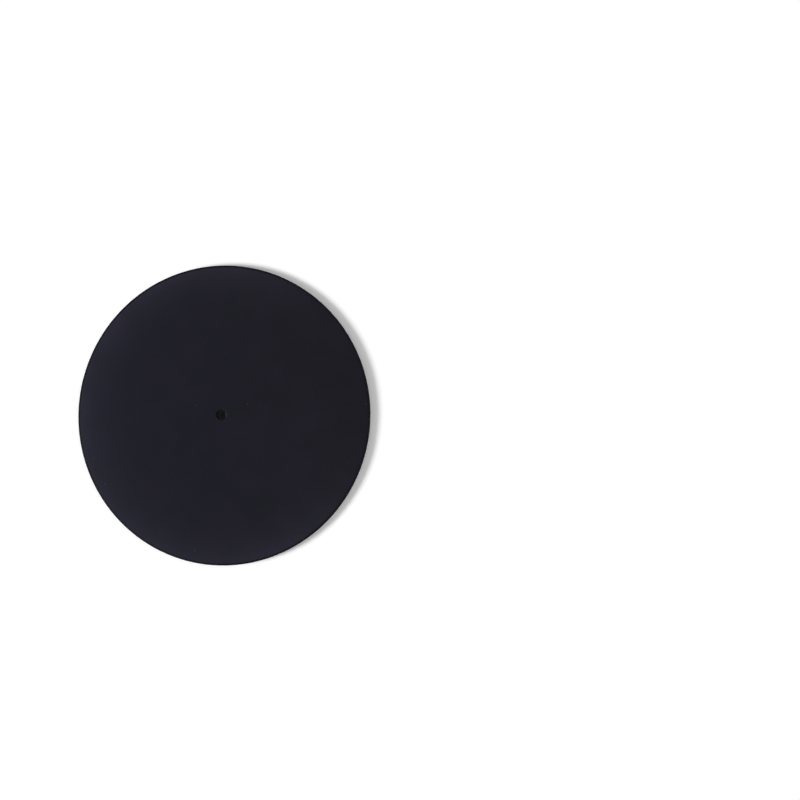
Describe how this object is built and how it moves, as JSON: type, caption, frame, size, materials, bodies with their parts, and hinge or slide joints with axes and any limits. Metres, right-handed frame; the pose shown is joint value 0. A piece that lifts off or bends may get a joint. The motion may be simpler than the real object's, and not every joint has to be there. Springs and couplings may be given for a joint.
{
  "type": "turntable platter mat",
  "caption": "Flat round mat of soft black rubber with a small spindle hole at its centre, laid on a record player's platter to cushion and grip the record.",
  "frame": {"origin": "on the mat's axis, in the plane of its underside, which is the plane it rests on", "axes": "+Z along the axis of the disc and of its spindle hole, from the underside to the face that carries the record; X and Y are free, because the mat is round"},
  "size_m": [0.203, 0.203, 0.003],
  "materials": {
    "black_rubber": "fine matte moulded face, near black with a faint blue cast"
  },
  "bodies": {
    "root": {"platter_mat": "black_rubber"}
  },
  "joints": []
}
